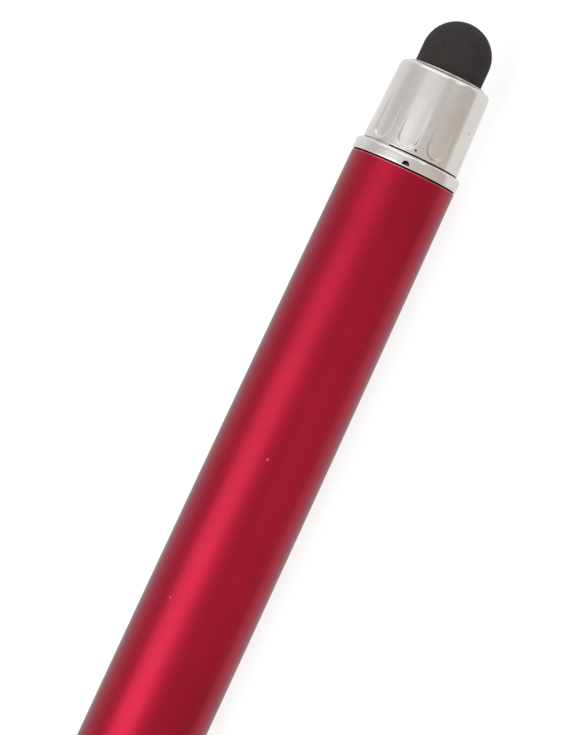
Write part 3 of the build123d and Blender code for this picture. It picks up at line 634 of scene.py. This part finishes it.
def collar():
    ends = [FLUTE_END_FIRST + FLUTE_END_PITCH * k for k in range(FLUTE_END_RINGS)]
    sides = [FLUTE_SIDE_FIRST + FLUTE_SIDE_PITCH * k for k in range(FLUTE_SIDE_RINGS)]
    piece = turned("stylus_collar_fluted", [
        (COLLAR_BASE, COLLAR_BASE_RADIUS, COLLAR_EDGE),
        *[(h, collar_radius(h), 0) for h in ends + sides],
        (COLLAR_SHOULDER, COLLAR_TOP_RADIUS, COLLAR_CORNER),
        (LIP_BASE, LIP_RADIUS, LIP_FOOT_EDGE),
        (LIP_TOP, LIP_RADIUS, LIP_EDGE),
        (LIP_TOP, SOCKET_RADIUS, 0),
        (BEAD_TOP, SOCKET_RADIUS, 0),
        (BEAD_TOP - BEAD_SLOPE, BEAD_GROOVE, 0),
        (SOCKET_FLOOR, BEAD_GROOVE, 0),
        (SOCKET_FLOOR, VENT_RADIUS, 0),
        (SOCKET_FLOOR - SOCKET_WALL, VENT_RADIUS, 0),
        (SOCKET_FLOOR - SOCKET_WALL, SPIGOT_RADIUS - SPIGOT_WALL, 0),
        (SPIGOT_END, SPIGOT_RADIUS - SPIGOT_WALL, 0),
        (SPIGOT_END, SPIGOT_RADIUS - SPIGOT_CHAMFER, 0),
        (SPIGOT_END + SPIGOT_CHAMFER, SPIGOT_RADIUS, 0),
        (RING_TOP, SPIGOT_RADIUS, 0),
        (RING_TOP, CREASE_RADIUS, 0),
        (COLLAR_BASE, CREASE_RADIUS, 0),
    ], FLUTED_STEPS)
    group = piece.vertex_groups.new(name="flutes")
    # Painted shade along the flutes' walls, kept as a vertex attribute for the finish
    shade_levels = [0.0] * len(piece.data.vertices)
    for vertex in piece.data.vertices:
        if hypot(vertex.co.y, vertex.co.z) > (COLLAR_TOP_RADIUS - FLUTED_SKIN) * MM:
            depth, share = flute_share(vertex.co)
            group.add([vertex.index], depth, "REPLACE")
            shade_levels[vertex.index] = flute_painted_shade(vertex.co, share)
    modify(
        piece, "DISPLACE", direction="NORMAL", mid_level=0.0, strength=-FLUTE_DEPTH * MM,
        vertex_group="flutes",
    )
    piece.data.attributes.new("painted_shade", "FLOAT", "POINT").data.foreach_set("value", shade_levels)

    # Painted shade: the crease between ring and collar is lined black, only on the side away from the light
    def in_crease(height, radius, turn):
        if 0 <= turn <= radians(CREASE_TURN) or height >= COLLAR_BASE + NEAR:
            return False
        return SPIGOT_RADIUS + CREASE_SIDE < radius < COLLAR_BASE_RADIUS - CREASE_EDGE

    line(piece, satin_silver, (shade_and_bare_plastic, in_crease))
    return piece


lay(collar(), "upper", satin_silver, "satin_silver", "stylus_collar")


# Clip ring: a turned ring joined to the bracket that holds the clip, with the gate mark in front
def clip_ring():
    ring = turned("clip_ring_bracket", [
        (BARREL_TOP, BARREL_BORE, 0),
        (BARREL_TOP, RING_FOOT, 0),
        (RING_RIM, RING_FOOT, 0),
        (RING_RIM, RING_RADIUS, RING_FOOT_EDGE),
        (RING_TOP, RING_RADIUS, RING_EDGE),
        (RING_TOP, BARREL_BORE, 0),
    ], BARREL_STEPS)
    side = BRACKET_WIDTH / 2
    bracket = block((RING_RIM, -side, 0), (RING_BASE + BRACKET_HEIGHT, side, BRACKET_REACH))
    edit(bracket, lambda vertex: False)
    bpy.ops.mesh.select_mode(type="EDGE")
    bpy.ops.object.mode_set(mode="OBJECT")
    for edge in bracket.data.edges:
        ends = [bracket.data.vertices[i].co for i in edge.vertices]
        edge.select = all(end.z > MM for end in ends) and abs(ends[0].x - ends[1].x) > MM
    bpy.ops.object.mode_set(mode="EDIT")
    bpy.ops.mesh.bevel(offset=BRACKET_CORNER * MM, segments=CORNER_STEPS, affect="EDGES")
    bpy.ops.mesh.select_mode(type="VERT")
    bpy.ops.object.mode_set(mode="OBJECT")
    modify(
        bracket, "BEVEL", width=BRACKET_EDGE * MM, segments=EDGE_STEPS, limit_method="ANGLE",
        angle_limit=BRACKET_ANGLE,
    )
    for low, high, radius in (
        (RING_TOP, RING_TOP + BRACKET_HEIGHT, COLLAR_ROOM),
        (BARREL_TOP - CUT_ROOM, RING_TOP + CUT_ROOM, BARREL_BORE),
    ):
        combine(bracket, rod((low, 0, 0), (high, 0, 0), radius, "X", BARREL_STEPS), "DIFFERENCE")
    combine(ring, bracket, "UNION")
    pocket_side = CLIP_ROOT_WIDTH / 2 + POCKET_SIDE
    pocket = block(
        (RING_BASE - CUT_ROOM, -pocket_side, CLIP_INNER - POCKET_ROOM),
        (RING_BASE + CLIP_TANG + POCKET_ROOM, pocket_side, CLIP_INNER + CLIP_THICKNESS + POCKET_ROOM),
    )
    combine(ring, pocket, "DIFFERENCE")
    for share, flat, aside, depth in (
        (1, GATE_FLAT, GATE_ASIDE, GATE_DEPTH),
        (GATE_CORE, GATE_FLAT + GATE_CORE_LIFT, GATE_CORE_ASIDE, GATE_CORE_DEPTH),
    ):
        outer, inner = -RING_RADIUS - CUT_ROOM, -RING_RADIUS + depth
        gate = rod((flat, aside, outer), (flat, aside, inner), GATE_WIDE * share, "Z", GATE_STEPS)
        foot = flat * MM
        edit(gate)
        bpy.ops.transform.resize(value=(GATE_LONG / GATE_WIDE, 1, 1), center_override=(foot, 0, 0))
        edit(gate, lambda vertex: vertex.co.x < foot)
        bpy.ops.transform.resize(value=(0, 1, 1), center_override=(foot, 0, 0))
        bpy.ops.object.mode_set(mode="OBJECT")
        combine(ring, gate, "DIFFERENCE")
    edit(ring)
    bpy.ops.mesh.remove_doubles(threshold=CUT_LEFTOVER * MM)
    bpy.ops.mesh.dissolve_degenerate(threshold=CUT_LEFTOVER * MM)
    settle(ring)
    ring.data.materials.clear()

    # Painted shade: the shadow gap under the ring is lined black
    def in_gap(height, radius, turn):
        return height < RING_RIM + GAP_DEPTH and BARREL_BORE + GAP_SIDE < radius < RING_RADIUS - GAP_EDGE

    def in_gate(height, radius, turn):
        if cos(turn) > 0 or height < GATE_FLAT - NEAR:
            return False
        if not GATE_SKIN < RING_RADIUS - radius < GATE_CORE_DEPTH + GATE_FLOOR_SKIN:
            return False
        aside = -radius * sin(turn) - GATE_ASIDE
        return hypot((height - GATE_FLAT) / GATE_LONG, aside / GATE_WIDE) < GATE_REACH

    def in_gate_core(height, radius, turn):
        return in_gate(height, radius, turn) and RING_RADIUS - radius > GATE_DEPTH + GATE_CORE_SKIN

    line(ring, satin_silver, (shade_and_bare_plastic, in_gap), (shade_and_bare_plastic, in_gate), (gate_plastic, in_gate_core))
    return ring


lay(clip_ring(), "upper", satin_silver, "satin_silver", "clip_ring")


# Clip: a ribbon bent over its path, thickened outwards, with softened edges
def clip():
    corners = [
        (RING_BASE + CLIP_TANG, CLIP_INNER, 0),
        (RING_BASE - CLIP_STRAIGHT, CLIP_INNER, CLIP_BEND),
        (CLIP_DIP, CLIP_DIP_RADIUS, CLIP_DIP_BEND),
        (CLIP_END, CLIP_END_RADIUS, 0),
    ]
    path = rounded(corners)
    taper = (CLIP_ROOT_WIDTH - CLIP_END_WIDTH) / (RING_BASE - CLIP_STRAIGHT - CLIP_END)
    widths = [min(CLIP_ROOT_WIDTH, CLIP_END_WIDTH + (point.x - CLIP_END) * taper) for point in path]
    piece = start(bpy.ops.mesh.primitive_plane_add, size=2)
    piece.name = piece.data.name = "clip_strip"
    edit(piece, lambda vertex: vertex.co.x < 0)
    bpy.ops.mesh.delete(type="VERT")
    edit(piece)
    bpy.ops.transform.resize(value=(1, widths[0] / 2 * MM, 1), center_override=(0, 0, 0))
    bpy.ops.transform.translate(value=(path[0].x * MM - 1, 0, path[0].y * MM))
    for i in range(len(path) - 1):
        step = (path[i + 1] - path[i]) * MM
        bpy.ops.mesh.extrude_edges_move(TRANSFORM_OT_translate={"value": (step.x, 0, step.y)})
        bpy.ops.transform.resize(value=(1, widths[i + 1] / widths[i], 1), center_override=(0, 0, 0))
    edit(piece, lambda vertex: vertex.co.x < (CLIP_END + NEAR) * MM)
    bpy.ops.mesh.bevel(offset=CLIP_END_ROUND * MM, segments=CORNER_STEPS, affect="VERTICES")
    settle(piece)
    if piece.data.polygons[0].normal.z < 0:
        piece.data.flip_normals()
    modify(piece, "SOLIDIFY", thickness=CLIP_THICKNESS * MM, offset=1.0, use_even_offset=True)
    modify(
        piece, "BEVEL", width=CLIP_EDGE * MM, segments=EDGE_STEPS, limit_method="ANGLE",
        angle_limit=CLIP_ANGLE,
    )
    return piece


lay(clip(), "clip", clip_steel, "clip_steel", "clip")


# Barrels, the ring between them and the nose
def upper_barrel():
    first, run = BARREL_END + BARREL_EDGE, BARREL_TOP - BARREL_END - 2 * BARREL_EDGE
    heights = [first + run * k / BOW_STEPS for k in range(1, BOW_STEPS)]
    piece = turned("upper_barrel_lacquered", [
        (BARREL_END, BELLY_RADIUS, BARREL_EDGE),
        *[(h, bow(h, BARREL_END, BARREL_TOP, BARREL_TOP_RADIUS), 0) for h in heights],
        (BARREL_TOP, BARREL_TOP_RADIUS, BARREL_TOP_EDGE),
        (BARREL_TOP, BARREL_BORE, 0),
        (CAM_BASE, BARREL_BORE, 0),
        (CAM_BASE, JOURNAL_BORE, 0),
        (BARREL_END, JOURNAL_BORE, 0),
    ], BARREL_STEPS)
    keyway = block(
        (CAM_BASE, -KEYWAY_WIDTH / 2, -KEYWAY_REACH),
        (BARREL_TOP + CUT_ROOM, KEYWAY_WIDTH / 2, KEYWAY_REACH),
    )
    combine(piece, keyway, "DIFFERENCE")
    return piece


def centre_ring():
    return turned("centre_ring_trim", [
        (-CENTRE_LENGTH, CENTRE_BORE, 0),
        (-CENTRE_LENGTH, BELLY_RADIUS, CENTRE_EDGE),
        (0, BELLY_RADIUS, CENTRE_EDGE),
        (0, CENTRE_BORE, 0),
    ], BARREL_STEPS)


def lower_barrel():
    groove = (GROOVE_WIDTH**2 / 4 + GROOVE_DEPTH**2) / (2 * GROOVE_DEPTH)
    run = LOWER_BOW_START - LOWER_END
    heights = [LOWER_END + run * k / GRIP_STEPS for k in range(GRIP_STEPS + 1)]
    mouths = [GROOVE_FIRST + GROOVE_PITCH * k for k in range(GROOVE_COUNT)]

    def outline(height):
        radius = bow(height, LOWER_BOW_START, LOWER_END, LOWER_END_RADIUS)
        for mouth in mouths:
            away = height - mouth
            if abs(away) < groove:
                middle = bow(mouth, LOWER_BOW_START, LOWER_END, LOWER_END_RADIUS) - GROOVE_DEPTH + groove
                radius = min(radius, middle - sqrt(groove**2 - away**2))
        return radius

    return turned("lower_barrel_lacquered", [
        *[(h, outline(h), 0) for h in heights],
        (-CENTRE_LENGTH, BELLY_RADIUS, CENTRE_EDGE),
        (-CENTRE_LENGTH, CENTRE_BORE, 0),
        (GUIDE_SOCKET_BASE, CENTRE_BORE, 0),
        (GUIDE_SOCKET_BASE, LOWER_BORE, 0),
        (NOSE_SOCKET_TOP, LOWER_BORE, 0),
        (NOSE_SOCKET_TOP, NOSE_SOCKET, 0),
        (LOWER_END, NOSE_SOCKET, 0),
    ], BARREL_STEPS)


def nose_cone():
    base, tip = Vector((LOWER_END, NOSE_BASE_RADIUS)), Vector((NOSE_END, NOSE_TIP_RADIUS))
    chord = tip - base
    arc = (chord.length**2 / 4 + NOSE_BULGE**2) / (2 * NOSE_BULGE)
    square = Vector((-chord.y, chord.x)).normalized()
    square = copysign(1, square.y) * square
    middle = (base + tip) / 2 + square * (NOSE_BULGE - arc)
    side = []
    for k in range(1, NOSE_STEPS):
        way = (base + chord * k / NOSE_STEPS - middle).normalized()
        side.append((*(middle + way * arc), 0))
    return turned("nose_cone_trim", [
        (LOWER_END, NOSE_BASE_RADIUS, NOSE_EDGE),
        *side,
        (NOSE_END, NOSE_TIP_RADIUS, NOSE_TIP_EDGE),
        (NOSE_END, NOSE_THROAT, NOSE_EDGE),
        (SPRING_SEAT, NOSE_THROAT, 0),
        (SPRING_SEAT, NOSE_CHAMBER, 0),
        (NOSE_SOCKET_TOP - SEAT, NOSE_CHAMBER, 0),
        (NOSE_SOCKET_TOP - SEAT, NOSE_SOCKET - SEAT, 0),
        (LOWER_END, NOSE_SOCKET - SEAT, 0),
    ], BARREL_STEPS)


lay(upper_barrel(), "upper", red_lacquer, "red_lacquer", "upper_barrel")
lay(centre_ring(), "lower", satin_silver, "satin_silver", "centre_ring")
lay(lower_barrel(), "lower", red_lacquer, "red_lacquer", "lower_barrel")
lay(nose_cone(), "lower", satin_silver, "satin_silver", "nose_cone")


# Refill tip: a turned brass point with a stepped cone
def refill_tip():
    return turned("refill_tip_brass", [
        (TIP_END, TIP_MOUTH_BORE, 0),
        (TIP_END, TIP_MOUTH, TIP_MOUTH_EDGE),
        (TIP_CONE_END - TIP_BREAK, TIP_RADIUS - TIP_BREAK_DEPTH, TIP_BREAK_EDGE),
        (TIP_CONE_END, TIP_RADIUS, TIP_ROUND),
        (TIP_CONE_END + TIP_STEP, TIP_RADIUS, TIP_STEP_EDGE),
        (TIP_CONE_END + TIP_STEP, TIP_RADIUS - TIP_STEP_DEPTH, TIP_STEP_EDGE),
        (TIP_CONE_END + 2 * TIP_STEP, TIP_RADIUS - TIP_STEP_DEPTH, TIP_STEP_EDGE),
        (TIP_CONE_END + 2 * TIP_STEP, TIP_RADIUS, TIP_STEP_EDGE),
        (TIP_SHOULDER, TIP_RADIUS, 0),
        (TIP_SHOULDER, TIP_INSERT, 0),
        (TIP_INSERT_END, TIP_INSERT, 0),
        (TIP_INSERT_END, TIP_BORE, 0),
        *[(TIP_END + depth, radius, 0) for depth, radius in BALL_SEAT],
    ], TIP_STEPS)


lay(refill_tip(), "refill", tip_brass, "tip_brass", "refill_tip")


# Return spring: a wire ring wound up by screw modifiers, close at both ends.
def wound(begin, turns, pitch):
    """A stretch of the spring's wire, wound round the axis from a height."""
    piece = start(
        bpy.ops.mesh.primitive_circle_add,
        vertices=WIRE_STEPS, radius=SPRING_WIRE * MM, location=(begin * MM, 0, SPRING_RADIUS * MM),
        rotation=(pi / 2, 0, 0),
    )
    modify(
        piece, "SCREW", axis="X", angle=2 * pi * turns, screw_offset=pitch * turns * MM,
        steps=COIL_STEPS * turns, render_steps=COIL_STEPS * turns, use_merge_vertices=False,
    )
    return piece


def refill_spring():
    low = SPRING_SEAT + SEAT + SPRING_WIRE
    high = SPRING_TOP - SPRING_WIRE
    active = SPRING_TURNS - 2
    pitch = (high - low - 2 * SPRING_DEAD_PITCH) / active
    coils = [
        wound(low, 1, SPRING_DEAD_PITCH),
        wound(low + SPRING_DEAD_PITCH, active, pitch),
        wound(high - SPRING_DEAD_PITCH, 1, SPRING_DEAD_PITCH),
    ]
    choose(*coils)
    bpy.ops.object.join()
    spring = bpy.context.object
    spring.name = spring.data.name = "refill_spring_wire"
    edit(spring)
    bpy.ops.mesh.remove_doubles(threshold=SPRING_JOIN * MM)
    bpy.ops.mesh.select_all(action="DESELECT")
    bpy.ops.mesh.select_non_manifold()
    bpy.ops.mesh.edge_face_add()
    settle(spring)
    return spring


spring = refill_spring()
lay(spring, "lower", pin_steel, "pin_steel", "refill_spring")
travel = joints["refill_slide"]["range_m"][1] / MM
spring_length = SPRING_TOP - SPRING_SEAT
(spring_length - travel) / spring_length
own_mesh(spring)


# Floor, light and camera
view_way = -CLIP_WAY
across_way = ALONG.cross(view_way)
FLOOR_SIZE, FLOOR_GLOW, FLOOR_SHADE, PAPER_WHITE = 6.0, 0.88, 0.16, (0.8, 0.8, 0.8, 1)

floor = start(bpy.ops.mesh.primitive_plane_add, size=FLOOR_SIZE)
floor.name = "floor"
paper = Finish("white_paper")
seen = paper.seen()
paper.dress(
    Base_Color=paper.blend(seen, PAPER_WHITE, (FLOOR_SHADE, FLOOR_SHADE, FLOOR_SHADE, 1)),
    Roughness=1.0,
    Specular_IOR_Level=0.0,
    Emission_Color=paper.blend(seen, (0, 0, 0, 1), (FLOOR_GLOW, FLOOR_GLOW, FLOOR_GLOW, 1)),
    Emission_Strength=1.0,
)
floor.data.materials.append(paper.material)

# A grey card, palest beside the upper barrel, lies in front of the pen, and a white one beyond the nib.
# Only what mirrors shows them.
CARD_EDGE, CARD_MIDDLE, CARD_PALE, CARD_DARK = -0.0076, 0.026, 0.006, 0.036
for name, begin, size, height, dark, pale, glow in (
    ("grey_card", -0.433, 1.0, 0.0001, (0.66, 0.631, 0.606, 1), (0.84, 0.803, 0.772, 1), 0.0),
    ("white_card", 0.0715, 0.06, 0.0002, PAPER_WHITE, PAPER_WHITE, 0.55),
):
    place = begin + size / 2, CARD_EDGE - size / 2, height
    card = start(bpy.ops.mesh.primitive_plane_add, size=size, location=place)
    card.name = name
    board = Finish(name)
    along = board.node("ShaderNodeSeparateXYZ", {}, {0: board.place}, "X")
    away = (along - CARD_MIDDLE).size().above(CARD_PALE, CARD_DARK)
    board.dress(
        Base_Color=board.blend(away, pale, dark),
        Roughness=1.0,
        Specular_IOR_Level=0.0,
        Emission_Color=(1, 1, 1, 1),
        Emission_Strength=glow,
    )
    card.data.materials.append(board.material)
    card.visible_camera = card.visible_diffuse = card.visible_shadow = False

# The room is white behind the pen and a little darker on the camera's side
SKY, ROOM_BACK, ROOM_FRONT, FRONT_BEGINS, FRONT_FULL = 0.85, 0.97, 0.73, -0.4, 0.0
world = bpy.data.worlds.new("studio")
bpy.context.scene.world = world
room = Nodes(world, "Background")
way = room.node("ShaderNodeTexCoord", {}, {}, "Generated")
facing = room.node("ShaderNodeVectorMath", {"operation": "DOT_PRODUCT"}, {0: way, 1: view_way}, "Value")
shown = ROOM_BACK + facing.above(FRONT_BEGINS, FRONT_FULL) * (ROOM_FRONT - ROOM_BACK)
room.dress(Color=(1, 1, 1, 1), Strength=SKY + room.seen() * (shown - SKY))


def softbox(name, way, distance, middle, size, level):
    """A rectangular lamp seen from a point in a given way, with one side along the pen and an even glow."""
    lamp = bpy.data.lights.new(name, "AREA")
    lamp.shape = "RECTANGLE"
    lamp.size, lamp.size_y = size
    lamp.energy = level * pi * size[0] * size[1]
    holder = bpy.data.objects.new(name, lamp)
    bpy.context.scene.collection.objects.link(holder)
    way = way.normalized()
    side_way = (ALONG - way * ALONG.dot(way)).normalized()
    holder.matrix_world = placed(Vector(middle) + way * distance, side_way, way.cross(side_way), way)
    holder.visible_camera = False
    return holder


def rise(degrees):
    """The way that rises by an angle on the camera's side of the pen."""
    return Vector((0, -cos(radians(degrees)), sin(radians(degrees))))


KEY_RISE, FRONT_RISE, END_RISE, END_TURN = 64, 45, 65, radians(55)
softbox("key", rise(KEY_RISE), distance=0.3, middle=(-0.108, 0, 0.006), size=(0.3, 0.25), level=1.72)
softbox("front", rise(FRONT_RISE), distance=0.5, middle=(0.03, 0, 0.006), size=(0.8, 0.5), level=0.2)
for name, side in (("nib_end", 1), ("nose_end", -1)):
    end_way = ALONG * side * sin(END_TURN) + rise(END_RISE) * cos(END_TURN)
    end = softbox(name, end_way, distance=0.35, middle=(0.06, 0, 0.006), size=(0.3, 0.46), level=0.8)
    end.visible_diffuse = False

SLANT = radians(65.11)
VIEW_DISTANCE = 0.36
PHOTO_HEIGHT, SENSOR, PIXELS_PER_MM = 735, 36.0, 10.2
AIM_HEIGHT, AIM_ACROSS = 42.89, -1.975
right = ALONG * cos(SLANT) + across_way * sin(SLANT)
up = ALONG * sin(SLANT) - across_way * cos(SLANT)
aim = BENCH_TO_PEN @ Vector((AIM_HEIGHT * MM, 0, 0)) + across_way * AIM_ACROSS * MM
camera = bpy.data.cameras.new("camera")
camera.sensor_width = SENSOR
camera.lens = PIXELS_PER_MM / MM * SENSOR / PHOTO_HEIGHT * VIEW_DISTANCE
camera.clip_start, camera.clip_end = 0.01, 20.0
viewer = bpy.data.objects.new("camera", camera)
bpy.context.scene.collection.objects.link(viewer)
viewer.matrix_world = placed(aim + view_way * VIEW_DISTANCE, right, up, view_way)
bpy.context.scene.camera = viewer
bpy.context.scene.view_settings.view_transform = "Standard"

bpy.context.view_layer.update()
